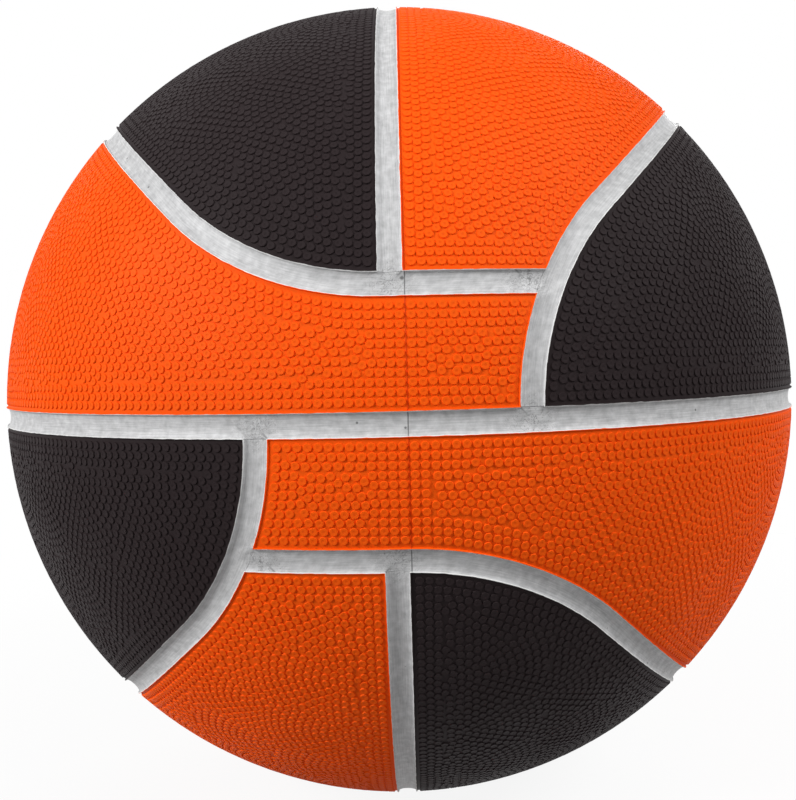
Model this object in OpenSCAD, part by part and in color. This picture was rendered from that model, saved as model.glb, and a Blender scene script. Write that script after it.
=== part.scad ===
// Basketball of the moulded rubber kind, in its own frame.
// The origin is the ball's centre. +X is right, +Z is up and -Y faces the viewer.
// The eight cover panels and the channel strips between them come from one flat drawing
// of the pattern, seen from the front. It is pushed through the ball from front to back,
// so the back wears the same pattern in mirror image.

/* [Ball] */
// Diameter over the cover panels
ball_d = 242; // [230:1:250]
// Thickness of the rubber cover panels
panel_t = 1.7; // [1.4:0.1:2.4]
// Thickness of the rubber carcass under the panels
carcass_t = 0.6; // [0.4:0.1:1.5]
// Thickness of the layer of wound nylon thread
winding_t = 0.4; // [0.3:0.1:1]
// Thickness of the bladder that holds the air
bladder_t = 0.6; // [0.4:0.1:1.2]
// Gap between one layer and the next, which the bonding fills
layer_gap = 0.1; // [0.05:0.05:0.2]

/* [Channels] */
// Width of a channel strip
channel_w = 5.2; // [4:0.1:7]
// How far a strip lies below the panels
channel_depth = 0.9; // [0.5:0.1:1.2]
// Half the width of the square that the bent channels leave at the front
square_half = 28.7; // [26:0.1:32]
// Radius of the bends, at the middle of the strip
bend_r = 64; // [54:1:66]

/* [Valve] */
// How far the valve lies below the equator, in degrees round the ball
valve_drop = 22.5; // [16:0.5:29]
// How far the valve's face lies below the panel
valve_sink = 0.4; // [0.2:0.1:0.8]
// Diameter of the housing's neck, which shows in the panel
neck_d = 9; // [8:0.1:11]
// Gap between the neck and the hole in each layer
neck_gap = 0.2; // [0.1:0.05:0.4]
// Diameter of the flange that is bonded to the inside of the bladder
flange_d = 26; // [20:1:34]
// Thickness of the flange
flange_t = 1.2; // [0.8:0.1:2]
// Length of the stem inside the flange
stem_length = 9; // [7:0.5:14]
// Diameter of the stem at its inner end
stem_end_d = 7.6; // [7:0.1:8]
// Diameter of the plug's shank
plug_d = 4.6; // [4.2:0.1:5]
// Diameter of the plug's head
head_d = 6.6; // [6:0.1:7]
// Thickness of the plug's head
head_t = 1.4; // [1:0.1:2]
// Diameter of the plug's inner end, which keeps it in the housing
bulb_d = 6.4; // [5.8:0.1:6.8]
// Length of the plug's inner end
bulb_length = 2.4; // [2:0.1:3]
// Gap round the plug in the housing
plug_gap = 0.05; // [0.02:0.01:0.1]
// Diameter of the needle hole
needle_hole_d = 2.5; // [2.3:0.1:2.8]
// Depth of the needle hole below its mouth
needle_hole_depth = 8; // [6:0.5:10]
// Diameter of the flared mouth of the needle hole
mouth_d = 3.4; // [3:0.1:3.6]
// Depth of the flared mouth
mouth_depth = 0.6; // [0.4:0.1:1]

/* [Hidden] */
$fn = 200;

// Colours as the photograph shows them
black_rubber = [0.10, 0.08, 0.085];
orange_rubber = [0.95, 0.30, 0.06];
silver_paint = [0.78, 0.78, 0.77];
carcass_rubber = [0.16, 0.16, 0.17];
nylon_thread = [0.90, 0.88, 0.80];
bladder_rubber = [0.05, 0.05, 0.06];
valve_rubber = [0.12, 0.12, 0.13];

// Outer radii of the layers, from the outside in, and the radius of the air inside
ball_r = ball_d / 2;
strip_r = ball_r - channel_depth;
carcass_r = ball_r - panel_t - layer_gap;
winding_r = carcass_r - carcass_t - layer_gap;
bladder_r = winding_r - winding_t - layer_gap;
air_r = bladder_r - bladder_t;

// Eight panels share the full turn, as eight slices that meet at the front and the back
slice_angle = 360 / 8;
half_w = channel_w / 2;
// Longer than anything it cuts
reach = ball_d;

// The bend's centre: its arc touches the side of the square and the slanted border
bend_x = square_half + bend_r;
bend_y = square_half - bend_r * tan(slice_angle / 2);
bend_steps = 20;

// Levels along the valve's axis, measured from the ball's centre
valve_face = ball_r - valve_sink;
flange_r = air_r - layer_gap;
flange_face = flange_r - flange_t;
stem_end = flange_face - stem_length;
plug_end = stem_end - bulb_length;
head_level = valve_face - head_t;
mouth_level = valve_face - mouth_depth;
needle_level = mouth_level - needle_hole_depth;

// Points along the bend, from the side of the square to the slanted border
function bend_arc(shift) = [
    for (i = [0:bend_steps])
        let (turn = 180 - i * slice_angle / bend_steps)
        [bend_x, bend_y] + (bend_r - shift) * [cos(turn), sin(turn)]
];

// The area inside one bent channel's middle line, moved inwards by shift.
// The line runs up the right side of the square, bends and leaves along the slanted border.
module inside_bend(shift) {
    arc = bend_arc(shift);
    slanted_end = arc[bend_steps] + reach * [cos(slice_angle), sin(slice_angle)];
    polygon(concat(
        [[arc[0].x, -reach]],
        arc,
        [slanted_end, [slanted_end.x, -reach]]
    ));
}

// The same line turned a quarter, which runs on along the top of the square
module inside_link_bend(shift) {
    rotate(90)
        inside_bend(shift);
}

module above(height) {
    translate([-reach, height])
        square([2 * reach, reach]);
}

module right_of(side) {
    translate([side, -reach])
        square([reach, 2 * reach]);
}

module left_of(side) {
    translate([side - reach, -reach])
        square([reach, 2 * reach]);
}

// Outlines of the four panels above the equator
module top_left_outline() {
    intersection() {
        inside_link_bend(half_w);
        left_of(-half_w);
    }
}

module top_right_outline() {
    difference() {
        intersection() {
            inside_link_bend(half_w);
            right_of(half_w);
        }
        inside_bend(-half_w);
    }
}

module left_upper_outline() {
    difference() {
        above(half_w);
        inside_link_bend(-half_w);
        inside_bend(-half_w);
    }
}

module right_upper_outline() {
    intersection() {
        above(half_w);
        inside_bend(half_w);
    }
}

// Outlines of the three strips above the equator
module upper_right_strip_outline() {
    intersection() {
        above(half_w);
        difference() {
            inside_bend(-half_w);
            inside_bend(half_w);
        }
    }
}

module upper_left_strip_outline() {
    difference() {
        inside_link_bend(-half_w);
        inside_link_bend(half_w);
        inside_bend(-half_w);
    }
}

module top_strip_outline() {
    intersection() {
        inside_link_bend(half_w);
        translate([-half_w, 0])
            square([channel_w, reach]);
    }
}

module equator_outline() {
    translate([-reach, -half_w])
        square([2 * reach, channel_w]);
}

// A hollow ball between two radii
module layer(inner_r, outer_r) {
    difference() {
        sphere(r = outer_r);
        sphere(r = inner_r);
    }
}

// What a layer keeps of an outline that is pushed through it from front to back.
// A turn of 180 degrees gives the piece of the lower half.
module cut_from_layer(inner_r, outer_r, turn = 0) {
    intersection() {
        layer(inner_r, outer_r);
        rotate([90, turn, 0])
            linear_extrude(height = 2 * reach, center = true)
                children();
    }
}

module panel(turn = 0) {
    cut_from_layer(ball_r - panel_t, ball_r, turn)
        children();
}

module strip(turn = 0) {
    cut_from_layer(ball_r - panel_t, strip_r, turn)
        children();
}

// Turns +Z to the valve's axis, which runs from the ball's centre outwards
module at_valve() {
    rotate([0, -90 - valve_drop, 0])
        children();
}

module neck_hole() {
    at_valve()
        translate([0, 0, flange_face])
            cylinder(d = neck_d + 2 * neck_gap, h = reach);
}

module panel_top_left() {
    color(black_rubber)
        panel()
            top_left_outline();
}

module panel_top_right() {
    color(orange_rubber)
        panel()
            top_right_outline();
}

module panel_left_upper() {
    color(orange_rubber)
        panel()
            left_upper_outline();
}

module panel_right_upper() {
    color(black_rubber)
        panel()
            right_upper_outline();
}

// This panel has the hole in which the valve shows
module panel_left_lower() {
    color(black_rubber)
        difference() {
            panel(180)
                right_upper_outline();
            neck_hole();
        }
}

module panel_right_lower() {
    color(orange_rubber)
        panel(180)
            left_upper_outline();
}

module panel_bottom_left() {
    color(orange_rubber)
        panel(180)
            top_right_outline();
}

module panel_bottom_right() {
    color(black_rubber)
        panel(180)
            top_left_outline();
}

module channel_equator() {
    color(silver_paint)
        strip()
            equator_outline();
}

module channel_top() {
    color(silver_paint)
        strip()
            top_strip_outline();
}

module channel_bottom() {
    color(silver_paint)
        strip(180)
            top_strip_outline();
}

module channel_upper_left() {
    color(silver_paint)
        strip()
            upper_left_strip_outline();
}

module channel_upper_right() {
    color(silver_paint)
        strip()
            upper_right_strip_outline();
}

module channel_lower_left() {
    color(silver_paint)
        strip(180)
            upper_right_strip_outline();
}

module channel_lower_right() {
    color(silver_paint)
        strip(180)
            upper_left_strip_outline();
}

module carcass() {
    color(carcass_rubber)
        difference() {
            layer(carcass_r - carcass_t, carcass_r);
            neck_hole();
        }
}

module winding_layer() {
    color(nylon_thread)
        difference() {
            layer(winding_r - winding_t, winding_r);
            neck_hole();
        }
}

module bladder() {
    color(bladder_rubber)
        difference() {
            layer(air_r, bladder_r);
            neck_hole();
        }
}

// The housing's half section: neck, curved flange and tapered stem
module housing_section() {
    translate([0, flange_face])
        square([neck_d / 2, valve_face - flange_face]);
    intersection() {
        difference() {
            circle(r = flange_r);
            circle(r = flange_face);
        }
        translate([0, stem_end])
            square([flange_d / 2, reach]);
    }
    polygon([
        [0, stem_end],
        [stem_end_d / 2, stem_end],
        [neck_d / 2, flange_face],
        [0, flange_face]
    ]);
}

// The hole in the housing that holds the plug
module plug_seat_section() {
    translate([0, plug_end])
        square([plug_d / 2 + plug_gap, reach]);
    translate([0, head_level])
        square([head_d / 2 + plug_gap, reach]);
}

module valve_housing() {
    color(valve_rubber)
        at_valve()
            rotate_extrude()
                difference() {
                    housing_section();
                    plug_seat_section();
                }
}

// The plug's half section: head, shank and inner end, with the blind needle hole
module plug_section() {
    mouth_r = mouth_d / 2;
    hole_r = needle_hole_d / 2;
    shank_r = plug_d / 2;
    bulb_r = bulb_d / 2;
    polygon([
        [0, needle_level],
        [hole_r, needle_level],
        [hole_r, mouth_level],
        [mouth_r, valve_face],
        [head_d / 2, valve_face],
        [head_d / 2, head_level],
        [shank_r, head_level],
        [shank_r, stem_end],
        [bulb_r, stem_end],
        [shank_r, plug_end],
        [0, plug_end]
    ]);
}

module valve_plug() {
    color(valve_rubber)
        at_valve()
            rotate_extrude()
                plug_section();
}

panel_top_left();
panel_top_right();
panel_left_upper();
panel_right_upper();
panel_left_lower();
panel_right_lower();
panel_bottom_left();
panel_bottom_right();
channel_equator();
channel_top();
channel_bottom();
channel_upper_left();
channel_upper_right();
channel_lower_left();
channel_lower_right();
carcass();
winding_layer();
bladder();
valve_housing();
valve_plug();
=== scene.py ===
# %% [markdown]
# A moulded rubber basketball.
#
# A rubber ball like this comes out of a hot two-part mould. Its skin is one moulding, but it is
# drawn and coloured as separate pieces: eight pebbled cover panels, and the silver channel strips
# that lie a little lower between them. Under the skin are a rubber carcass, a winding of nylon
# thread and the bladder, and one rubber valve goes through all of them.
#
# The solid model gives every piece its size and place. This lesson dresses it: each panel and each
# strip becomes a fine mesh that replaces its plain solid, and every piece gets a finish made of
# shader nodes. We could paint the pebbles on with a bump map, but a bump map leaves the outline of
# the ball smooth, so here each pebble is real geometry.

# %% Load the solid model
import math

import bpy
import numpy as np
from mathutils import Matrix, Vector
from mathutils.geometry import delaunay_2d_cdt
from mathutils.kdtree import KDTree


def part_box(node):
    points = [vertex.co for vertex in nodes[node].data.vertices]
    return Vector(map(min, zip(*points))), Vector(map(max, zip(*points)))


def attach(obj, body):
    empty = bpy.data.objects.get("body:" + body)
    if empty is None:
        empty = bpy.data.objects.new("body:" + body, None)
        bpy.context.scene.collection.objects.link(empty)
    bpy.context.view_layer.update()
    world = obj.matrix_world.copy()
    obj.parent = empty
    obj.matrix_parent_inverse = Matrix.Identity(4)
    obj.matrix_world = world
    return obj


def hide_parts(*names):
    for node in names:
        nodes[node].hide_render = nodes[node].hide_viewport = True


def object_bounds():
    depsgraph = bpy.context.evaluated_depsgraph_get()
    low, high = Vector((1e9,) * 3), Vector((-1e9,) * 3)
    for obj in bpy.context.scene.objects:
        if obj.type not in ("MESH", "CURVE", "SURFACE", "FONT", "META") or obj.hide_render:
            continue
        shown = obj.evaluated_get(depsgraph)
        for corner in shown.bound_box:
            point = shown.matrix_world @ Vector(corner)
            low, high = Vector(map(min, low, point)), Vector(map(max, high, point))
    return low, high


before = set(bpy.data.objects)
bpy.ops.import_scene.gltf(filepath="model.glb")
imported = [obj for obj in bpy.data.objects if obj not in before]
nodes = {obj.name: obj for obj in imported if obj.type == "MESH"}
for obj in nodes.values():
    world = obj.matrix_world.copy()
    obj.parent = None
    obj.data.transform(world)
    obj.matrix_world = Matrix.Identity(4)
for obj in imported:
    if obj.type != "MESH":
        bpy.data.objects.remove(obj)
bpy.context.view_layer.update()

print("solid pieces:", len(nodes))

# %% [markdown]
# Sizes that everything shares.
#
# Blender works in metres, and a ball's details are tenths of a millimetre, so one name for a
# millimetre keeps the numbers readable. The ball's own sizes are read from the solids: a channel's
# half width from the strip round the equator, and the ball's radius from an upper panel,
# whose highest point lies just beside the strip over the top.

# %% Read the ball's sizes from the solids
mm = 0.001
half_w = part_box("channel_equator")[1].z
ball_r = math.hypot(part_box("panel_top_right")[1].z, half_w)
square_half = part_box("channel_upper_right")[0].x + half_w
skin_t = 1.7 * mm
bend_r = 64 * mm
slice_turn = math.radians(45)
bend_z = square_half - bend_r * math.tan(slice_turn / 2)
print(f"ball radius {ball_r / mm:.2f} mm, channel width {2 * half_w / mm:.2f} mm")
print(f"front square {2 * square_half / mm:.1f} mm wide")

# %% [markdown]
# The flat drawing of the pattern.
#
# Seen from the front, the pattern is drawn with straight lines and two kinds of bend. A channel
# runs up the right side of a square, bends by 45 degrees and leaves along a slanted line through
# the centre. The same line, turned a quarter, runs along the top of the square. A function that
# tells how far a point lies from such a line, with a sign for its side, is called a distance
# field. Fields are handy because the smaller of two fields gives the place where both areas
# overlap, and because every row of pebbles is simply a line of equal distance.

# %% Distance fields of the pattern
def bend_field(x, z):
    """Distance from the middle of the bent channel, positive on the side of the bend's centre."""
    dx = x - square_half - bend_r
    dz = z - bend_z
    side = x - square_half
    slanted = (x - z) * math.sqrt(0.5)
    near = np.where(dz <= 0, side, slanted)
    far = np.where(dz <= 0, slanted, side)
    straight = np.where(near > 0, np.minimum(near, far), near)
    in_arc = (dz > 0) & (dz < -dx)
    return np.where(in_arc, bend_r - np.hypot(dx, dz), straight)


def link_field(x, z):
    """The same for the bent channel that runs along the top of the square."""
    return bend_field(z, -x)


print("from the centre to the bent channel:", round(float(-bend_field(0, 0)) / mm, 2), "mm")

# %% [markdown]
# Lines of the drawing, laid on the ball.
#
# Each border of a panel is one of three lines: a straight line through the centre, or one of the
# two bends, each moved sideways by some distance. On the ball a straight line becomes an arc in a
# flat plane. Points are spread by angle there, because a point spread evenly on the flat drawing
# would leap down the steep side of the ball. The front half is enough: the back mirrors it.

# %% Lines on the front half of the ball
line_step = 0.1 * mm
inner_reach = 60 * mm


def lift(x, z):
    """Points of the drawing, laid on the front half of the ball."""
    depth = np.sqrt(np.maximum(ball_r ** 2 - x ** 2 - z ** 2, 0))
    return np.stack([x, -depth, z], axis=1)


def straight_line(direction, side, shift, start):
    """An arc along direction, moved sideways by shift, from start outwards to the ball's edge."""
    direction, side = np.array(direction, float), np.array(side, float)
    ring_r = math.sqrt(ball_r ** 2 - shift ** 2)
    widest = math.acos(max(-1, min(1, start / ring_r)))
    count = max(2, int(ring_r * widest / line_step))
    turn = np.linspace(widest, 0, count)
    flat = shift * side + ring_r * np.cos(turn)[:, None] * direction
    return np.stack([flat[:, 0], -ring_r * np.sin(turn), flat[:, 1]], axis=1)


def bend_line(shift):
    """The bent channel's line moved by shift towards the bend's centre, from inside outwards."""
    rise = np.arange(-inner_reach, bend_z, line_step)
    upright = lift(np.full(len(rise), square_half + shift), rise)
    radius = bend_r - shift
    turn = np.linspace(math.pi, math.pi - slice_turn, int(radius * slice_turn / line_step))
    arc = lift(square_half + bend_r + radius * np.cos(turn), bend_z + radius * np.sin(turn))
    diagonal = np.array([1, 1]) * math.sqrt(0.5)
    start = arc[-1, [0, 2]] @ diagonal
    slanted = straight_line(diagonal, [diagonal[0], -diagonal[1]], shift, start + line_step)
    return np.concatenate([upright, arc, slanted])


def link_line(shift):
    """The bent channel's line turned a quarter, along the top of the square."""
    line = bend_line(shift)
    return np.stack([-line[:, 2], line[:, 1], line[:, 0]], axis=1)


def up_line(shift):
    return straight_line([0, 1], [1, 0], shift, 0)


def equator_line(direction):
    """A line beside the equator, moved up by shift, towards one side of the ball."""
    return lambda shift: straight_line([direction, 0], [0, 1], shift, -inner_reach)


print("points on one bent line:", len(bend_line(half_w)))

# %% [markdown]
# The eight panels.
#
# The upper four panels are listed with the lines of their border, in order from one side of the
# ball's edge to the other, and with the side of each line on which the panel lies. Every line comes
# with its field, and the smallest field of a panel tells how far inside it a point lies. The lower
# four are the same shapes turned half way round, which the eye reads as a different layout. Two
# rubber colours go round in a fixed order.

# %% List the panels
UP = (up_line, lambda x, z: x)
LEFT = (equator_line(-1), lambda x, z: z)
RIGHT = (equator_line(1), lambda x, z: z)
BEND = (bend_line, bend_field)
LINK = (link_line, link_field)
PANELS = {
    "top_left": [(UP, -1), (LINK, 1)],
    "top_right": [(UP, 1), (LINK, 1), (BEND, -1)],
    "left_upper": [(LEFT, 1), (BEND, -1), (LINK, -1)],
    "right_upper": [(RIGHT, 1), (BEND, 1)],
}
TURNED = {
    "top_left": "bottom_right",
    "top_right": "bottom_left",
    "left_upper": "right_lower",
    "right_upper": "left_lower",
}
HALF_TURN = np.array([-1, 1, -1])
line_slack = line_step / 4
ORANGE = ("top_right", "left_upper", "right_lower", "bottom_left")


def panel_field(name, points):
    """Distance from the panel's border on the flat drawing, positive inside the panel."""
    x, z = points[:, 0], points[:, 2]
    return np.minimum.reduce([sign * field(x, z) for (_, field), sign in PANELS[name]]) - half_w


def border_lines(name, level):
    """The panel's border on the front half, moved inwards by level, as one line for each side.

    Each line goes on where the one before it ended.
    """
    kept = []
    for number, ((line, _), sign) in enumerate(PANELS[name]):
        points = line(sign * (half_w + level))
        if number == 0:
            points = points[::-1]
        inside = np.flatnonzero(panel_field(name, points) > level - line_slack)
        if len(inside) < 2:
            continue
        points = points[inside[0]:inside[-1] + 1]
        if kept:
            to_start, to_end = np.linalg.norm(points[[0, -1]] - kept[-1][-1], axis=1)
            points = points[::-1] if to_end < to_start else points
        kept.append(points)
    return kept


for name in PANELS:
    sides = border_lines(name, 0)
    gaps = [np.linalg.norm(b[0] - a[-1]) / mm for a, b in zip(sides, sides[1:])]
    print(name, "sides", [len(s) for s in sides], "corner gaps", [round(g, 2) for g in gaps])

# %% [markdown]
# Rows of points along a line.
#
# Pebbles, borders and strips all need points at an even spacing along a line. We measure the
# distance walked along the line and read off the places where it reaches each mark.

# %% Even points along a line
def walked(line):
    """Distance walked along a line up to each of its points."""
    steps = np.linalg.norm(np.diff(line, axis=0), axis=1)
    return np.concatenate([[0], np.cumsum(steps)])


def even_points(line, dust_hair_and_shade_marks):
    """Points at the given shares of the line's length, laid back on the ball."""
    length = walked(line)
    at = np.asarray(dust_hair_and_shade_marks) * length[-1]
    points = np.stack([np.interp(at, length, line[:, axis]) for axis in range(3)], axis=1)
    return on_ball(points, 0)


def unit(vectors):
    """The same directions with length one."""
    return vectors / np.linalg.norm(vectors, axis=1)[:, None]


def on_ball(points, height):
    """The points moved along their own direction to a height above the ball's surface."""
    return unit(points) * (ball_r + np.reshape(height, (-1, 1)))


def along_ball(points, directions):
    """Distance along the ball's surface between points on it and directions from its centre."""
    return ball_r * np.arccos(np.clip(points @ directions / ball_r, -1, 1))


def mirrored(points):
    return points * np.array([1, -1, 1])


print("half way up the ball's front:", even_points(up_line(0), [0.5]).round(3).tolist())

# %% [markdown]
# Where the pebbles go.
#
# Mould makers frame each panel with rows of pebbles that follow its border. Inside the frame the
# pebbles form fans: rings round middles that stand in rows of their own, like the scales of a
# fish, each fan spreading away from the panel's straight side. Two panels are crossed by the line
# where the halves of the mould meet, and beside it the pebbles stand in plain columns. The height
# of the front square tells how far apart the rows are, because a whole number of them fits in.

# %% Sizes of the pebbles
pitch = 2.14 * mm
first_row = 1.9 * mm
square_rows = 10
row_gap = (square_half - 2 * half_w - 2 * first_row) / square_rows
frame_rows = 3
least_gap = 0.88 * pitch
parting_x = 3.0 * mm
parting_margin = 1.2 * mm
parting_columns = (4, 2)
corner_share = 0.72


def row_level(row):
    """Distance of a row from the panel's border on the flat drawing."""
    edge_angle = math.asin(half_w / ball_r)
    return ball_r * math.sin(edge_angle + (first_row + row * row_gap) / ball_r) - half_w


def accepted(places, trial, gap):
    """The places, and those trial points that keep clear of them and of each other."""
    room = np.concatenate([places, trial])
    count = len(places)
    for point in trial:
        if not count or ((room[:count] - point) ** 2).sum(axis=1).min() > gap ** 2:
            room[count] = point
            count += 1
    return room[:count]


def column_places(line_x, turned):
    """The square grid of pebbles beside the parting line."""
    left, right = parting_columns[::-1] if turned else parting_columns
    x = np.concatenate([line_x - parting_margin - pitch * np.arange(left),
                        line_x + parting_margin + pitch * np.arange(right)])
    z = half_w + first_row + row_gap * np.arange(square_rows + 1)
    x, z = (grid.ravel() for grid in np.meshgrid(x, z))
    return lift(x, z)


print(f"rows {row_gap / mm:.2f} mm apart, pebbles {pitch / mm:.2f} mm apart in a row")

# %% [markdown]
# The rows of the frame.
#
# A row runs from one side of the ball's edge to the other, by way of the panel's corners. Between
# two corners its pebbles are spread evenly. Rows with a pebble right in the corner alternate with
# rows that leave it free, so that neighbouring rows sit in each other's gaps.

# %% Rows along the border
def spread(line, before, after):
    """Even places on a line, which starts and ends with the given shares of a step."""
    count = max(1, round(walked(line)[-1] / pitch - before - after) + 1)
    steps = max(count - 1 + before + after, 1)
    return even_points(line, (before + np.arange(count)) / steps)


def beside_columns(side, before, after, columns):
    """The parts of a side to the left and to the right of the columns."""
    inside = (side[:, 0] > columns[:, 0].min()) & (side[:, 0] < columns[:, 0].max())
    if not inside.any():
        return [(side, before, after)]
    first, last = np.flatnonzero(inside)[[0, -1]]
    return [(side[:first], before, 1), (side[last + 1:], 1, after)]


def frame_places(name, columns):
    """The pebbles of all rows that follow the panel's border."""
    rows = []
    for row in range(frame_rows):
        corner, rim = (0, 0.5) if row % 2 == 0 else (corner_share, 0)
        sides = border_lines(name, row_level(row))
        for number, side in enumerate(sides):
            before = rim if number == 0 else corner
            after = rim if number == len(sides) - 1 else corner
            parts = [(side, before, after)]
            if columns is not None:
                parts = beside_columns(side, before, after, columns)
            rows += [spread(*part) for part in parts if len(part[0]) > 1]
    return np.concatenate(rows)


print("pebbles in the frame of one panel:", len(frame_places("top_right", None)))

# %% [markdown]
# Fans of pebbles.
#
# The middles of the fans stand on lines beside the panel's straight side, each line moved on by
# half a fan. A pebble belongs to the first line of fans that reaches it, and there to the nearest
# middle. That rule alone makes the arcs overlap like scales.

# %% Fans
fan_step = 21 * mm
fan_reach = 22 * mm
fan_row = 3.5
fan_lines = 6
fan_numbers = np.arange(-5, 10)
fan_start = math.radians(-1)
frame_overlap = 0.15
FAN_AXES = {
    "top_left": ((-1, 0, 0), (0, 0, 1)),
    "top_right": ((1, 0, 0), (0, 0, 1)),
    "left_upper": ((0, 0, 1), (-1, 0, 0)),
    "right_upper": ((0, 0, 1), (1, 0, 0)),
}


def fan_middles(name):
    """Directions of the fans' middles, as one array for each line of fans."""
    away, along = (np.array(axis, float) for axis in FAN_AXES[name])
    lines = []
    for number in range(fan_lines):
        rise = (half_w + first_row + fan_row * row_gap + number * fan_step) / ball_r
        step = fan_step / (ball_r * math.cos(rise))
        turn = fan_start + (fan_numbers + number % 2 / 2) * step
        front = -np.cos(turn)[:, None] * np.array([0, 1, 0]) + np.sin(turn)[:, None] * along
        lines.append(math.cos(rise) * front + math.sin(rise) * away)
    return lines


def fan_owner(points, lines):
    """Number of the fan that each point belongs to."""
    owner = np.full(len(points), -1)
    start = 0
    for line in lines:
        apart = along_ball(points, line.T)
        free = (owner < 0) & (apart.min(axis=1) < fan_reach)
        owner[free] = start + apart.argmin(axis=1)[free]
        start += len(line)
    return owner


def even_turns(count, stagger=0):
    """Angles spread evenly over a whole turn, moved on by a share of a step."""
    return (np.arange(count) + stagger) * 2 * math.pi / count


def ring_round(middle, up, side, radius, turn):
    """Points on a circle round a middle, at a distance from it along the ball."""
    ring = np.cos(turn)[:, None] * up + np.sin(turn)[:, None] * side
    return ball_r * (math.cos(radius / ball_r) * middle + math.sin(radius / ball_r) * ring)


def ring_places(middle, away, radius, stagger):
    """Even places on a circle round a middle, counted from the side that faces away."""
    count = max(1, round(2 * math.pi * ball_r * math.sin(radius / ball_r) / pitch))
    up = away - middle * (away @ middle)
    up /= np.linalg.norm(up)
    return ring_round(middle, up, np.cross(middle, up), radius, even_turns(count, stagger))


def fan_places(name):
    """All pebbles of the fans that lie inside the frame, nearest lines of fans first."""
    lines = fan_middles(name)
    away = np.array(FAN_AXES[name][0], float)
    kept = []
    for number, middle in enumerate(np.concatenate(lines)):
        rings = [ring_places(middle, away, ring * row_gap, ring % 2 / 2)
                 for ring in range(int(fan_reach / row_gap) + 2)]
        points = np.concatenate(rings)
        mine = (fan_owner(points, lines) == number) & (points[:, 1] < 0)
        kept.append(points[mine])
    points = np.concatenate(kept)
    return points[panel_field(name, points) > row_level(frame_rows - frame_overlap)]


print("pebbles in the fans of one panel:", len(fan_places("top_right")))

# %% [markdown]
# Letting the pebbles find their places.
#
# Where rows, columns and fans meet, holes are left. We try points spread evenly over the ball and
# add a pebble wherever a whole one fits. Then the pebbles that may move push each other away a
# little, again and again, until the crowd is even. This is called relaxation. The rows are counted
# from the border and may be cut: none is added outside row 0.3, and none moves outside row 0.2.

# %% Fill the holes and relax the crowd
relax_rounds = 30
relax_gap = 0.97 * pitch
relax_share = 0.3
relax_reach = 1.4 * pitch
fill_gap = 0.73 * pitch
fill_row = 0.3
fixed_row = 0.2
rim_snap = pitch / 4
cover_spacing = pitch / 3
golden_turn = math.pi * (3 - math.sqrt(5))


def tree_of(points):
    tree = KDTree(len(points))
    for index, point in enumerate(points):
        tree.insert(point, index)
    tree.balance()
    return tree


def even_cover(spacing):
    """Points spread evenly over the whole ball, on a spiral of golden turns."""
    count = int(4 * math.pi * (ball_r / spacing) ** 2)
    number = np.arange(count) + 0.5
    depth = 1 - 2 * number / count
    ring = np.sqrt(1 - depth ** 2)
    turn = number * golden_turn
    return ball_r * np.stack([ring * np.cos(turn), depth, ring * np.sin(turn)], axis=1)


fine_cover = even_cover(cover_spacing)


def fill_holes(name, places, line_x):
    """The places with more pebbles wherever one fits."""
    keep = panel_field(name, fine_cover) > row_level(fill_row)
    if line_x is not None:
        keep &= np.abs(fine_cover[:, 0] - line_x) > parting_margin
    trial = fine_cover[keep]
    tree = tree_of(places)
    clear = np.array([tree.find(point)[2] > fill_gap for point in trial])
    return accepted(places, trial[clear], fill_gap)


def relax(points, fixed):
    """Moves the free points apart until they stand evenly."""
    tree = tree_of(points)
    pairs = [(index, other) for index, point in enumerate(points)
             for _, other, _ in tree.find_range(point, relax_reach) if other > index]
    first, second = np.array(pairs).T
    for _ in range(relax_rounds):
        apart = points[first] - points[second]
        gap = np.linalg.norm(apart, axis=1)
        push = np.maximum(relax_gap - gap, 0) * relax_share
        move = apart * (push / gap)[:, None]
        shift = np.zeros_like(points)
        np.add.at(shift, first, move)
        np.add.at(shift, second, -move)
        shift[fixed] = 0
        points = on_ball(points + shift, 0)
    return points


def pebble_places(name, line_x, turned):
    """All pebbles of a panel, front and back. Columns and the outermost row stay in place."""
    columns = None if line_x is None else column_places(line_x, turned)
    start = np.zeros((0, 3)) if columns is None else columns
    front = accepted(start, frame_places(name, columns), least_gap)
    front = accepted(front, fan_places(name), least_gap)
    on_rim = np.abs(front[:, 1]) < rim_snap
    front[on_rim, 1] = 0
    front = front[on_rim | (front[:, 1] < -least_gap / 2)]
    on_rim = front[:, 1] == 0
    both = np.concatenate([on_ball(front, 0), mirrored(on_ball(front[~on_rim], 0))])
    both = fill_holes(name, both, line_x)
    fixed = panel_field(name, both) < row_level(fixed_row)
    if line_x is not None:
        fixed |= np.abs(both[:, 0] - line_x) < parting_margin + pitch / 2
    return relax(both, fixed)


print("points to try:", len(fine_cover))

# %% [markdown]
# The section of a panel's border.
#
# Beside each channel the rubber rises into a thin lip that leans a little over the strip. The
# paint of the channel ends on the lip's inner slope, and the slope on the panel's side stays bare:
# it catches the light where it faces up and draws a dark line where it faces down. The section is
# a table of distances from the panel's edge, negative ones over the strip, and heights over the
# ball's surface, both in millimetres. It goes up the hidden wall, over the lip and down to the
# skin between the pebbles. Each row of the table is one line of vertices round the panel, and
# neighbouring lines are joined with four-sided faces.

# %% Section of the lip
base_depth = 0.32 * mm
LIP = [
    (0.00, -1.70),
    (0.00, -0.19),
    (-0.12, -0.16),
    (-0.14, -0.05),
    (-0.03, 0.07),
    (0.10, 0.08),
    (0.16, -0.02),
    (0.23, -0.32),
]
border_step = 1.0 * mm
least_side_points = 4


def border_loop(name, level, counts):
    """The closed line round the panel at one distance from its edge, with counts points a side."""
    sides = border_lines(name, level)
    front = [even_points(side, np.arange(count) / count) for side, count in zip(sides, counts)]
    front = np.concatenate([*front, sides[-1][-1:]])
    front[[0, -1], 1] = 0
    return np.concatenate([front, mirrored(front[-2:0:-1])])


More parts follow.
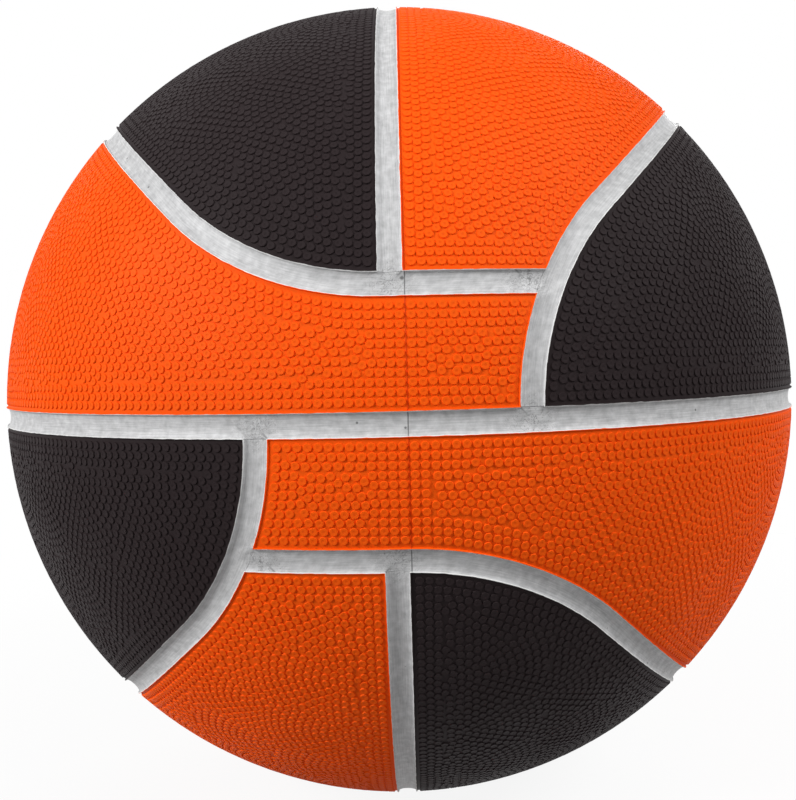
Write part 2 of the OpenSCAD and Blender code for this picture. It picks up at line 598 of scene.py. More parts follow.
def side_counts(name):
    """Number of points for each side of the panel's border."""
    return [max(least_side_points, round(walked(side)[-1] / border_step))
            for side in border_lines(name, 0)]


print("points on the front half of one border:", sum(side_counts("top_right")))

# %% [markdown]
# From points to a surface.
#
# Between the pebbles lies a thin web of skin. To mesh it we flatten the panel with a projection
# that keeps circles round, called stereographic, and ask Blender to connect the points with
# triangles. Eight points round each pebble mark its foot. Triangles inside a foot are thrown away
# and replaced by the pebble: a steep side with a crisp rim, and a top that is slightly dished.

# %% Helpers for joining points
ring_points = 8
pebble_base_r = 1.03 * mm
pebble_top_r = 0.89 * mm
pebble_drop = 0.02 * mm
dish_depth = 0.03 * mm
web_least = 0.03 * mm
crisp_angle = math.radians(50)
same_point = 1e-9
# Any direction will do that isn't exactly the direction of a pebble.
any_direction = (0.3, 1, 0.2)


class Vertices:
    """Vertices that come in blocks."""

    def __init__(self):
        self.blocks, self.count = [], 0

    def add(self, points):
        """Adds a block, and returns the numbers of its vertices."""
        self.blocks.append(points)
        self.count += len(points)
        return np.arange(self.count - len(points), self.count)


def flattened(points, centre):
    """Stereographic picture of points on the ball, seen from the point opposite to centre."""
    axis = centre / np.linalg.norm(centre)
    across = np.cross([0, 1, 0], axis)
    up = np.cross(axis, across)
    ray = unit(points)
    scale = 2 / (1 + ray @ axis)
    return np.stack([ray @ across * scale, ray @ up * scale], axis=1)


def triangles_between(points, ids, loops, chains, centre):
    """Triangles that connect the vertices ids, with closed loops and open chains as edges."""
    number = np.full(len(points), -1)
    number[ids] = np.arange(len(ids))
    lines = [np.append(loop, loop[0]) for loop in loops] + chains
    edges = [edge for line in lines for edge in zip(number[line], number[line[1:]])]
    flat = [Vector(point) for point in flattened(points[ids], centre)]
    out = delaunay_2d_cdt(flat, edges, [], 0, same_point)
    original = np.array([found[0] if found else -1 for found in out[3]])
    faces = original[np.array(out[2])]
    return ids[faces[(faces >= 0).all(axis=1)]]


def facing(points, faces):
    """Positive for each face that looks away from the ball's centre."""
    a, b, c = points[faces[:, 0]], points[faces[:, 1]], points[faces[:, -1]]
    return np.einsum("ij,ij->i", np.cross(b - a, c - a), a)


def outward(points, faces):
    """The same triangles, each turned to face away from the ball's centre."""
    return np.where(facing(points, faces)[:, None] < 0, faces[:, ::-1], faces)


def facing_out(points, faces):
    """A set of faces, all turned round if most of it faces the ball's centre."""
    return faces[:, ::-1] if facing(points, faces).sum() < 0 else faces


def circles(places, radius, turn):
    """Points round each place, on the ball."""
    axis = unit(places)
    across = unit(np.cross(axis, any_direction))
    up = np.cross(axis, across)
    angle = turn[:, None] + even_turns(ring_points)
    ring = (places[:, None, :]
            + (radius[:, None] * np.cos(angle))[:, :, None] * across[:, None, :]
            + (radius[:, None] * np.sin(angle))[:, :, None] * up[:, None, :])
    return ring.reshape(-1, 3)


def grid_faces(rows, columns, closed):
    """Four-sided faces between lines of vertices that lie one after the other."""
    last = columns if closed else columns - 1
    a = (np.arange(rows - 1)[:, None] * columns + np.arange(last)[None, :]).ravel()
    step = np.tile(np.roll(np.arange(columns), -1)[:last] - np.arange(last), rows - 1)
    return np.stack([a, a + step, a + step + columns, a + columns], axis=1)


def new_object(name, points, face_sets):
    """A mesh object from arrays of vertices and faces, smooth but for its steepest edges."""
    mesh = bpy.data.meshes.new(name)
    corners = np.concatenate([faces.ravel() for faces in face_sets])
    sizes = np.concatenate([np.full(len(faces), faces.shape[1]) for faces in face_sets])
    mesh.vertices.add(len(points))
    mesh.vertices.foreach_set("co", points.ravel())
    mesh.loops.add(len(corners))
    mesh.loops.foreach_set("vertex_index", corners)
    mesh.polygons.add(len(sizes))
    mesh.polygons.foreach_set("loop_start", np.concatenate([[0], np.cumsum(sizes)[:-1]]))
    mesh.update(calc_edges=True)
    mesh.validate()
    mesh.shade_smooth()
    mesh.set_sharp_from_angle(angle=crisp_angle)
    piece = bpy.data.objects.new(name, mesh)
    bpy.context.scene.collection.objects.link(piece)
    return piece


def store(piece, label, values):
    """Keeps one number for each vertex, which the finish can read."""
    attribute = piece.data.attributes.new(label, "FLOAT", "POINT")
    attribute.data.foreach_set("value", np.asarray(values, np.float32))


# %% [markdown]
# The valve's hole.
#
# The valve comes out through one dark panel, at the edge of the ball as the photograph sees it.
# The panel keeps a smooth ring round it, a little lower than the pebbles, so that a thumb finds
# the needle hole. The ring has its own table of distances and heights, like the lip.

# %% Place and section of the valve's ring
valve_low, valve_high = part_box("valve_plug")
valve_axis = np.array((valve_low + valve_high) / 2)
valve_axis /= np.linalg.norm(valve_axis)
VALVE_RING = [
    (4.70, -1.70),
    (4.70, -0.36),
    (4.82, -0.12),
    (5.10, -0.04),
    (7.00, -0.04),
    (7.30, -0.12),
    (7.55, -0.32),
]
valve_ring_points = 48
valve_margin = 1.15 * mm
valve_clear = VALVE_RING[-1][0] * mm + valve_margin
valve_row_gap = 0.8 * pitch
valve_settle = 5 * pitch


def valve_loop(distance):
    """A circle round the valve's axis, at a distance from it along the ball."""
    across = np.cross(valve_axis, [0, 1, 0])
    up = np.cross(valve_axis, across)
    return ring_round(valve_axis, across, up, distance, even_turns(valve_ring_points))


def round_valve(places):
    """Opens a round space for the valve and sets one row of pebbles round it."""
    away = along_ball(places, valve_axis)
    ring_d = valve_clear + pitch / 2
    ring = ring_places(valve_axis, np.array([0, 0, 1]), ring_d, 0)
    outside = away > ring_d + valve_row_gap
    fixed = np.concatenate([away[outside] > valve_settle, np.ones(len(ring), bool)])
    return relax(np.concatenate([places[outside], ring]), fixed)


print("valve lies", round(math.degrees(math.asin(-valve_axis[2])), 1), "degrees below the equator")

# %% [markdown]
# Building one panel.
#
# The vertices come in blocks: the lines of the border's section, the feet of the pebbles, their
# rims, the middle of each top, and in two panels a hair-thin ridge on the parting line. The inside
# of the panel is a smooth wall at the carcass, so the piece is a closed solid that could be
# printed. Each vertex also keeps numbers for the finish: how far it lies from the panel's edge,
# how high it stands, and whether it is the middle of a pebble.

# %% Parts of a panel
ridge_half = 0.16 * mm
ridge_rise = 0.12 * mm
ridge_step = 0.6 * mm
ridge_gap_mm = 0.1
inner_spacing = 9 * mm
size_spread = 0.025
size_limits = (0.93, 1.05)
height_spread = 0.012 * mm
# The middle of a face may lie nearer to a border than the border's own line by this share.
border_slack = 0.98
ring_slack = 0.99
far_from_edge_mm = 9.0


def ridge_chains(line_x):
    """The ridge on the parting line, as lines of points on the front and on the back."""
    if line_x is None:
        return []
    end = half_w + (LIP[-1][0] + ridge_gap_mm) * mm
    z = np.linspace(end, square_half - end, round((square_half - 2 * end) / ridge_step))
    chains = []
    for shift in (-1, 0, 1):
        chain = lift(np.full(len(z), line_x + shift * ridge_half), z)
        height = -base_depth + (ridge_rise if shift == 0 else 0)
        chains += [on_ball(chain, height), on_ball(mirrored(chain), height)]
    return chains


def pebble_sizes(places, rng):
    """Size of each pebble as a share of the full one: a little uneven, smaller in a crowd."""
    tree = tree_of(places)
    gap = np.array([tree.find_n(point, 2)[1][2] for point in places])
    drawn = rng.normal(1, size_spread, len(places)).clip(*size_limits)
    return np.minimum(drawn, (gap - web_least) / 2 / pebble_base_r)


def in_panel(points, base, flip, row):
    """Tells which points lie inside the lines that a row of the two tables draws."""
    points = on_ball(points, 0)
    inside = panel_field(base, points * flip) > LIP[row][0] * mm * border_slack
    return inside & (along_ball(points, valve_axis) > VALVE_RING[row][0] * mm * ring_slack)


def inside_wall(base, points, loops, flip, centre):
    """The vertices with those of a smooth wall on the panel's inner side, and the wall's faces."""
    extra = even_cover(inner_spacing)
    extra = extra[panel_field(base, extra) > inner_spacing / 2] * flip
    extra = extra[along_ball(extra, valve_axis) > valve_clear]
    every = np.concatenate([points, on_ball(extra, LIP[0][1] * mm)])
    ids = np.concatenate([*loops, np.arange(len(points), len(every))])
    faces = triangles_between(every, ids, loops, [], centre)
    faces = faces[in_panel(every[faces].mean(axis=1), base, flip, 0)]
    return every, outward(every, faces)[:, ::-1]


# %% Build the panels
def panel_mesh(base, name, turned, seed):
    """One panel as an object, and the number of its pebbles."""
    line_x = None
    if base == "left_upper":
        line_x = -parting_x if turned else parting_x
    flip = HALF_TURN if turned else np.ones(3)
    places = pebble_places(base, line_x, turned) * flip
    counts = side_counts(base)
    sections = [(LIP, lambda distance: border_loop(base, distance, counts) * flip)]
    if name == "left_lower":
        places = round_valve(places)
        sections.append((VALVE_RING, valve_loop))

    rng = np.random.default_rng(seed)
    turn = rng.uniform(0, 2 * math.pi / ring_points, len(places))
    size = pebble_sizes(places, rng)
    tall = rng.normal(0, height_spread, len(places))

    vertices = Vertices()
    edge, face_sets, inner_loops, outer_loops = [], [], [], []
    for table, line_at in sections:
        lines = [on_ball(line_at(distance * mm), height * mm) for distance, height in table]
        ids = vertices.add(np.concatenate(lines)).reshape(len(table), -1)
        edge.append(np.repeat([distance for distance, _ in table], ids.shape[1]))
        face_sets.append(grid_faces(*ids.shape, True) + ids[0, 0])
        inner_loops.append(ids[0])
        outer_loops.append(ids[-1])
    feet = vertices.add(on_ball(circles(places, pebble_base_r * size, turn), -base_depth))
    tops = vertices.add(on_ball(circles(places, pebble_top_r * size, turn),
                                np.repeat(-pebble_drop + tall, ring_points)))
    middles = vertices.add(on_ball(places, -pebble_drop - dish_depth + tall))
    chains = [vertices.add(chain * flip) for chain in ridge_chains(line_x)]
    points = np.concatenate(vertices.blocks)
    centre = places.mean(axis=0) * np.array([1, 0, 1])

    skin = np.concatenate([*outer_loops, feet, *chains])
    web = triangles_between(points, skin, outer_loops, chains, centre)
    owner = np.full(len(points), -1)
    owner[feet] = np.repeat(np.arange(len(places)), ring_points)
    mates = owner[web]
    web = web[~((mates >= 0) & (mates == mates[:, :1])).all(axis=1)]
    web = web[in_panel(points[web].mean(axis=1), base, flip, -1)]
    feet, tops = feet.reshape(-1, ring_points), tops.reshape(-1, ring_points)
    next_feet, next_tops = np.roll(feet, -1, axis=1), np.roll(tops, -1, axis=1)
    tips = np.repeat(middles[:, None], ring_points, axis=1)
    face_sets.append(np.stack([feet, next_feet, next_tops, tops], axis=2).reshape(-1, 4))
    face_sets.append(np.stack([tops, next_tops, tips], axis=2).reshape(-1, 3))
    face_sets = [facing_out(points, faces) for faces in face_sets] + [outward(points, web)]
    points, inner_faces = inside_wall(base, points, inner_loops, flip, centre)

    piece = new_object("cover_" + name, points, [*face_sets, inner_faces])
    edge_mm = np.full(len(points), far_from_edge_mm)
    edge_mm[:feet[0, 0]] = np.concatenate(edge)
    store(piece, "edge_mm", edge_mm)
    store(piece, "height_mm", (np.linalg.norm(points, axis=1) - ball_r) / mm)
    store(piece, "pebble_middle", np.isin(np.arange(len(points)), middles))
    return piece, len(places)


panels = {}
for seed, (base, turned_name) in enumerate(TURNED.items()):
    for turned in (False, True):
        name = turned_name if turned else base
        panels[name], count = panel_mesh(base, name, turned, 2 * seed + turned)
        print(name, "pebbles", count, "faces", len(panels[name].data.polygons))

# %% [markdown]
# The channel strips.
#
# The channels are shallow troughs, painted silver after moulding. Their section is round: the
# edges lie just under the lips and the middle is almost a millimetre down. Where one channel runs
# into another the trough simply widens. Taking the depth from the distance to the nearest panel,
# and not from the strip's own middle, gives that for free.

# %% Depth of a channel
edge_depth = 0.20 * mm
floor_depth = 0.95 * mm
strip_step = 0.7 * mm
strip_lines = 11
strip_shifts = half_w * np.sin(np.linspace(-math.pi / 2, math.pi / 2, strip_lines))
join_reach = 7 * mm


def gap_to_panels(points):
    """Distance to the nearest panel, measured on the flat drawing."""
    return -np.maximum.reduce([panel_field(name, half) for name in PANELS
                               for half in (points, points * HALF_TURN)])


def channel_height(points):
    """Height of the channel's surface below the ball at each point."""
    share = np.clip(gap_to_panels(points) / half_w, 0, 1)
    return -edge_depth - (floor_depth - edge_depth) * np.sqrt(1 - (1 - share) ** 2)


def join_share(points):
    """One where channels meet, fading to nothing a few millimetres away."""
    joins = np.array([(0, square_half), (square_half, square_half), (square_half, 0)])
    joins = np.concatenate([joins, -joins])
    apart = np.linalg.norm(points[:, None, [0, 2]] - joins, axis=2).min(axis=1)
    return np.clip(1 - apart / join_reach, 0, 1)


print("depth in the middle:", channel_height(np.array([[60 * mm, 0, 0]])).round(5).tolist())

# %% [markdown]
# Laying a strip.
#
# A strip is a ribbon of lines that run side by side along its channel. Each line is cut off where
# the strip runs into another one. The ribbon gets a flat underside and closed ends, so it is a
# solid as well. The distance along the strip and across it is kept for the brushed paint.

# %% Build a strip
def ribbon(name, line_at, ends_where, turned):
    """A strip from lines at many sideways shifts, kept where ends_where says so."""
    lines = []
    for shift in strip_shifts:
        line = line_at(shift)
        lines.append(line[ends_where(line[:, 0], line[:, 2])])
    count = round(walked(lines[strip_lines // 2])[-1] / strip_step)
    dust_hair_and_shade_marks = np.linspace(0, 1, count)
    front = np.stack([even_points(line, dust_hair_and_shade_marks) for line in lines])
    front[:, -1, 1] = 0
    full = np.concatenate([front, mirrored(front[:, -2::-1])], axis=1)
    along = np.tile(np.arange(full.shape[1]) * strip_step, strip_lines)
    return closed_ribbon(name, full, along, turned, False)


def closed_ribbon(name, full, along, turned, loops):
    """A solid strip from its lines of points. It loops if it runs round the whole ball."""
    rows, columns = full.shape[:2]
    flat = full.reshape(-1, 3) * (HALF_TURN if turned else 1)
    top = on_ball(flat, channel_height(flat))
    under = on_ball(flat, -skin_t)
    points = np.concatenate([top, under])
    upper = grid_faces(rows, columns, loops)
    lower = upper[:, ::-1] + len(flat)
    ids = np.arange(rows * columns).reshape(rows, columns)
    borders = [ids[0], ids[-1][::-1]] + ([] if loops else [ids[::-1, 0], ids[:, -1]])
    walls = [wall_faces(border, len(flat), loops) for border in borders]
    faces = np.concatenate([upper, lower, *walls])
    if facing(points, upper).sum() < 0:
        faces = faces[:, ::-1]
    piece = new_object("strip_" + name, points, [faces])
    store(piece, "along_mm", np.tile(along, 2) / mm)
    store(piece, "across_mm", np.tile(np.repeat(strip_shifts, columns), 2) / mm)
    store(piece, "join", join_share(points))
    return piece


def wall_faces(line, down, closed):
    """Faces that hang from a line of vertices to the line below it."""
    nxt = np.roll(line, -1)
    if not closed:
        line, nxt = line[:-1], nxt[:-1]
    return np.stack([nxt, line, line + down, nxt + down], axis=1)


def equator_ribbon():
    """The strip that runs round the whole ball."""
    columns = round(2 * math.pi * ball_r / strip_step)
    turn = even_turns(columns)
    ring_r = np.sqrt(ball_r ** 2 - strip_shifts ** 2)[:, None]
    full = np.stack([ring_r * np.cos(turn), ring_r * np.sin(turn),
                     np.repeat(strip_shifts[:, None], columns, axis=1)], axis=2)
    return closed_ribbon("equator", full, np.tile(turn * ball_r, strip_lines), False, True)


STRIPS = {
    "top": (up_line, lambda x, z: link_field(x, z) >= half_w, "bottom"),
    "upper_right": (bend_line, lambda x, z: z >= half_w, "lower_left"),
    "upper_left": (link_line, lambda x, z: -bend_field(x, z) >= half_w, "lower_right"),
}
strips = {"equator": equator_ribbon()}
for name, (line_at, ends_where, turned_name) in STRIPS.items():
    strips[name] = ribbon(name, line_at, ends_where, False)
    strips[turned_name] = ribbon(turned_name, line_at, ends_where, True)
for name, strip in strips.items():
    print("strip", name, "faces", len(strip.data.polygons))

# %% [markdown]
# Each piece stands for its solid.
#
# The meshes ride on the ball's one body and replace the plain solids of the same names.

# %% Tie the pieces to the solid model
for name, piece in panels.items():
    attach(piece, "root")
    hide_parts("panel_" + name)
for name, piece in strips.items():
    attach(piece, "root")
    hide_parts("channel_" + name)
print("pieces that replace solids:", len(panels) + len(strips))

# %% [markdown]
# Helpers for finishes.
#
# A finish is a small network of shader nodes. These helpers make a node, set its values and wire
# it up in one line, so that each finish reads as a recipe.

# %% Node helpers
def wire(tree, socket, value):
    """Sets a socket to a number or a colour, or wires another socket to it."""
    if isinstance(value, bpy.types.NodeSocket):
        tree.links.new(value, socket)
    else:
        socket.default_value = value


def wire_all(tree, sockets, *first, **named):
    """Does the same for the first sockets in their order, and for others by their names."""
    for socket, value in zip(sockets, first):
        wire(tree, socket, value)
    for label, value in named.items():
        wire(tree, sockets[label.replace("_", " ")], value)


def new_node(tree, kind, *first, settings=None, **named):
    """A node of a kind, with its settings and with values for its inputs."""
    node = tree.nodes.new("ShaderNode" + kind)
    for label, value in (settings or {}).items():
        setattr(node, label, value)
    wire_all(tree, node.inputs, *first, **named)
    return node


def calc(tree, operation, *values, clamp=False):
    """The result of a sum on one, two or three values."""
    settings = {"operation": operation, "use_clamp": clamp}
    return new_node(tree, "Math", *values, settings=settings).outputs[0]


def vector_calc(tree, operation, *values, **named):
    """The outputs of a sum on one or two vectors, which are a vector and a value."""
    settings = {"operation": operation}
    return new_node(tree, "VectorMath", *values, settings=settings, **named).outputs


def ramp(tree, value, low, high, start, end, **settings):
    """A value that goes from start to end while the given one goes from low to high."""
    return new_node(tree, "MapRange", settings=settings, Value=value, From_Min=low, From_Max=high,
                    To_Min=start, To_Max=end).outputs["Result"]


def noise(tree, place, scale, detail, **named):
    return new_node(tree, "TexNoise", Vector=place, Scale=scale, Detail=detail,
                    **named).outputs["Fac"]


def blend(tree, share, first, second):
    """A colour between two others."""
    node = new_node(tree, "Mix", settings={"data_type": "RGBA"})
    wire_all(tree, [node.inputs[number] for number in (0, 6, 7)], share, first, second)
    return node.outputs[2]


def bumped(tree, strength, distance, height):
    return new_node(tree, "Bump", Strength=strength, Distance=distance,
                    Height=height).outputs["Normal"]


def object_place(tree):
    return new_node(tree, "TexCoord").outputs["Object"]


def kept_value(tree, label):
    """A number that was stored with the vertices."""
    return new_node(tree, "Attribute", settings={"attribute_name": label}).outputs["Fac"]


def new_group(label, inputs, outputs):
    """An empty node group with named sockets."""
    tree = bpy.data.node_groups.new(label, "ShaderNodeTree")
    for name, (kind, value) in inputs.items():
        tree.interface.new_socket(name, in_out="INPUT", socket_type=kind).default_value = value
    for name, kind in outputs.items():
        tree.interface.new_socket(name, in_out="OUTPUT", socket_type=kind)
    return tree, tree.nodes.new("NodeGroupInput").outputs, tree.nodes.new("NodeGroupOutput").inputs


def placed(tree, group, **named):
    """The outputs of a group that is placed in a tree."""
    return new_node(tree, "Group", settings={"node_tree": group}, **named).outputs


def new_finish(label, **shader_values):
    """A material with one Principled shader whose constants are set on its own sockets."""
    material = bpy.data.materials.new(label)
    material.use_nodes = True
    tree = material.node_tree
    shader = tree.nodes["Principled BSDF"]
    wire_all(tree, shader.inputs, **shader_values)
    return material, tree, shader


# %% [markdown]
# Moulded rubber.
#
# New rubber is matt and even, but not flat in colour: it has a faint cloudy variation. Its
# colour is also made deeper between the pebbles and in the small dimple that the cutter left in
# the middle of each one: that is painted shade, standing in for the shade in those hollows. The
# parting line shows as a thin dark hair. Both colours of panel use this one group.

# %% Group for the parting line
value_kind, colour_kind, vector_kind = "NodeSocketFloat", "NodeSocketColor", "NodeSocketVector"
hair_half = 0.13 * mm
hair_group, _, hair_out = new_group("parting_hair", {}, {"Share": value_kind})
sideways = new_node(hair_group, "SeparateXYZ", Vector=object_place(hair_group)).outputs["X"]
off = calc(hair_group, "ABSOLUTE", calc(hair_group, "SUBTRACT", sideways, parting_x))
wire(hair_group, hair_out["Share"], ramp(hair_group, off, hair_half / 2, hair_half * 1.5, 1.0, 0.0))
print("hair width", round(2 * hair_half / mm, 2), "mm")

# %% Rubber group
tree, rubber_in, rubber_out = new_group(
    "moulded_rubber",
    {"Color": (colour_kind, (0.8, 0.8, 0.8, 1)), "Deep Color": (colour_kind, (0.2, 0.2, 0.2, 1)),
     "Cloud": (value_kind, 0.1)},
    {"Color": colour_kind, "Roughness": value_kind, "Normal": vector_kind})
rubber_group = tree
# Painted shade: the colour is made deeper on the low skin between the pebbles and in the middle of
# each pebble, where shade would lie. The dimple mask also gives the pebble tops their relief.
hollow_painted_shade = ramp(tree, kept_value(tree, "height_mm"), -0.10, -0.32, 0.0, 1.0)
dimple_and_painted_shade = ramp(tree, kept_value(tree, "pebble_middle"), 0.50, 0.78, 0.0, 1.0,
              interpolation_type="SMOOTHSTEP")
place = object_place(tree)
cloud = noise(tree, place, 38.0, 4.0, Roughness=0.6)
grain = noise(tree, place, 2600.0, 3.0, Roughness=0.6)
hair = placed(tree, hair_group)["Share"]
# The cloud is the rubber's own uneven tone and the hair its parting line; the hollows and the
# dimples add painted shade.
deep_and_painted_shade = calc(tree, "MULTIPLY", cloud, rubber_in["Cloud"])
for mask, weight in ((hollow_painted_shade, 0.06), (dimple_and_painted_shade, 0.22), (hair, 0.60)):
    deep_and_painted_shade = calc(tree, "MULTIPLY_ADD", mask, weight, deep_and_painted_shade, clamp=True)
relief = calc(tree, "MULTIPLY_ADD", dimple_and_painted_shade, -1.6, grain)
wire_all(tree, rubber_out, Color=blend(tree, deep_and_painted_shade, rubber_in["Color"], rubber_in["Deep Color"]),
         Roughness=ramp(tree, cloud, 0.3, 0.7, 0.54, 0.66),
         Normal=bumped(tree, 0.6, 0.04 * mm, relief))
print("rubber group nodes:", len(rubber_group.nodes))

# %% [markdown]
# The two panel finishes.
#
# The silver paint is sprayed through a mask, so it creeps a little up the inner slope of the lip.
# A noise along the edge makes that creep uneven, which is what the eye takes for real paint. The
# paint on the lip is a paler silver than on the strips, a painted highlight for the light line
# that runs along the lip.

# %% Panel finishes
# Paler than the strips' silver: a painted highlight along the lip's edge.
LIP_SILVER_AND_HIGHLIGHT = (0.78, 0.78, 0.77, 1)


def rubber_finish(label, colour, deep_and_painted_shade, gloss):
    material, tree, shader = new_finish(label, Specular_IOR_Level=gloss)
    skin = placed(tree, rubber_group, Color=colour, Deep_Color=deep_and_painted_shade, Cloud=0.16)
    waver = noise(tree, object_place(tree), 420.0, 2.0)
    reach = calc(tree, "MULTIPLY_ADD", waver, -0.30, kept_value(tree, "edge_mm"))
    painted = ramp(tree, reach, -0.13, -0.17, 0.0, 1.0)
    wire_all(tree, shader.inputs, Base_Color=blend(tree, painted, skin["Color"], LIP_SILVER_AND_HIGHLIGHT),
             Roughness=skin["Roughness"], Normal=skin["Normal"])
    return material


# The second colour of each rubber is its deeper tone, used for the cloudy variation and for the
# painted shade between the pebbles and in their dimples.
orange_finish = rubber_finish("orange_rubber", (0.98, 0.115, 0.004, 1), (0.62, 0.030, 0.002, 1),
                              0.06)
black_finish = rubber_finish("black_rubber", (0.023, 0.016, 0.017, 1), (0.007, 0.004, 0.004, 1),
                             0.07)
for name, piece in panels.items():
    piece.data.materials.append(orange_finish if name in ORANGE else black_finish)
print("orange panels:", ", ".join(ORANGE))

# %% [markdown]
# Silver paint.
#
# The paint holds fine metal flakes and was wiped along the channel, which leaves a grain that
# runs lengthwise. The grain is a noise stretched along the strip's own coordinates. Where two
# channels meet, the paint ran together and dried in small folds; they have a relief, and their
# darker colour is painted shade. A crease runs out from some corners of the panels, drawn only as
# a dark line of painted shade. A crease is listed for the upper half only, because the lower half
# is the upper one turned half way round. A few dark specks are dust, and one small round pit in
# the channel over the front square is drawn only as a dark spot of painted shade.

# %% Group for a crease
# A crease is drawn only as a dark line in the paint's colour, with no relief: painted shade.
crease_half = 0.16 * mm
crease_long = 2.6 * mm
tree, crease_in, crease_out = new_group(
    "crease_shade", {"Corner": (vector_kind, (0, 0, 0)), "Along": (vector_kind, (1, 0, 0)),
               "Across": (vector_kind, (0, 0, 1))}, {"Share": value_kind})
crease_shade_group = tree
place = object_place(tree)
half_turn = calc(tree, "SIGN", new_node(tree, "SeparateXYZ", Vector=place).outputs["Z"])
upper = vector_calc(tree, "SCALE", place, Scale=half_turn)[0]
offset = vector_calc(tree, "SUBTRACT", upper, crease_in["Corner"])[0]
length = vector_calc(tree, "DOT_PRODUCT", offset, crease_in["Along"])["Value"]
aside = calc(tree, "ABSOLUTE",
             vector_calc(tree, "DOT_PRODUCT", offset, crease_in["Across"])["Value"])
thin = ramp(tree, aside, crease_half / 2, crease_half * 2, 1.0, 0.0)
fade = ramp(tree, length, 0.0, crease_long, 1.0, 0.0)
begun = calc(tree, "GREATER_THAN", length, -crease_half)
wire(tree, crease_out["Share"], calc(tree, "MULTIPLY", calc(tree, "MULTIPLY", thin, fade), begun))

# Each crease: the corner where it starts, and the direction in which it runs, as x and z.
diagonal = math.sqrt(0.5)
CREASES = [
    ((half_w, square_half + half_w), (-diagonal, -diagonal)),
    ((square_half - half_w, half_w), (diagonal, -diagonal)),
    ((square_half - half_w, square_half + half_w), (diagonal, -diagonal)),
]
print("creases on each half of the ball:", len(CREASES))

# %% Silver finish
# The pit has no relief: it is drawn only as a dark spot in the paint, painted shade.
PIT_PLACE = (2.5 * mm, -116.2 * mm, 29.8 * mm)
pit_r = 0.60 * mm
silver_finish, tree, shader = new_finish("silver_paint", Metallic=0.08, Specular_IOR_Level=0.25)
spot = new_node(tree, "CombineXYZ", X=kept_value(tree, "along_mm"),
                Y=kept_value(tree, "across_mm")).outputs[0]
stretched = new_node(tree, "Mapping", Vector=spot, Scale=(0.10, 2.4, 1)).outputs[0]
brushed = noise(tree, stretched, 1.3, 5.0, Roughness=0.65)
blotch = noise(tree, spot, 0.45, 3.0, Roughness=0.6)
both = calc(tree, "ADD", brushed, blotch)
tone = ramp(tree, both, 0.7, 1.3, 0.0, 1.0)
paint = blend(tree, tone, (0.38, 0.38, 0.385, 1), (0.66, 0.66, 0.665, 1))

# Folds where the channels meet: a relief, and a darker colour that is painted shade.
fold_and_painted_shade = calc(tree, "SUBTRACT", noise(tree, spot, 0.55, 2.0, Distortion=2.2), 0.5)
fold_and_painted_shade = ramp(tree, calc(tree, "ABSOLUTE", fold_and_painted_shade), 0.0, 0.035, 1.0, 0.0)
fold_and_painted_shade = calc(tree, "MULTIPLY", fold_and_painted_shade, kept_value(tree, "join"))
hair = placed(tree, hair_group)["Share"]
place = object_place(tree)
dust = new_node(tree, "TexVoronoi", settings={"feature": "F1"}, Vector=place, Scale=150.0)
pit_away = vector_calc(tree, "DISTANCE", place, PIT_PLACE)["Value"]
# Dust specks and the parting hair are real dark marks; the pit and the creases are painted shade.
dust_hair_and_shade_marks = [ramp(tree, dust.outputs["Distance"], 0.03, 0.05, 1.0, 0.0), hair,
         ramp(tree, pit_away, pit_r / 2, pit_r, 1.0, 0.0)]
for (corner_x, corner_z), (run_x, run_z) in CREASES:
    dust_hair_and_shade_marks.append(placed(tree, crease_shade_group, Corner=(corner_x, 0, corner_z),
                        Along=(run_x, 0, run_z), Across=(-run_z, 0, run_x))["Share"])
# Mixes the dark colour in: real dust and hair, and painted shade in the folds, creases and pit.
dust_hair_and_painted_shade = fold_and_painted_shade
for mark in dust_hair_and_shade_marks:
    dust_hair_and_painted_shade = calc(tree, "MAXIMUM", dust_hair_and_painted_shade, mark)
paint = blend(tree, calc(tree, "MULTIPLY", dust_hair_and_painted_shade, 0.75), paint, (0.08, 0.08, 0.08, 1))
relief = calc(tree, "MULTIPLY_ADD", fold_and_painted_shade, -2.0, both)
relief = calc(tree, "MULTIPLY_ADD", hair, 2.0, relief)
wire_all(tree, shader.inputs, Base_Color=paint, Roughness=ramp(tree, brushed, 0.3, 0.7, 0.46, 0.62),
         Normal=bumped(tree, 0.6, 0.06 * mm, relief))
for strip in strips.values():
    strip.data.materials.append(silver_finish)
print("silver strips:", len(strips))

# %% [markdown]
# The inner layers and the valve.
#
# Nobody sees these while the ball is whole, but the model can be taken apart, so each has the
# finish of its real material: rough carcass rubber, crossed nylon thread, glossy bladder rubber
# and the soft dark rubber of the valve. The rubbers share one recipe, a noise that turns their
# colour, gloss and relief.

# %% Inner finishes
def mottled(label, gloss, pattern, colours, ends, relief):
    """Rubber that a noise turns from one colour and roughness to another and gives a relief.

    The pattern is the noise's scale, detail and roughness. The relief is a strength and a depth.
    """
    material, tree, shader = new_finish(label, Specular_IOR_Level=gloss)
    scale, detail, rough = pattern
    patch = noise(tree, object_place(tree), scale, detail, Roughness=rough)
    wire_all(tree, shader.inputs, Base_Color=blend(tree, patch, *colours),
             Roughness=ramp(tree, patch, 0.3, 0.7, *ends), Normal=bumped(tree, *relief, patch))
    return material


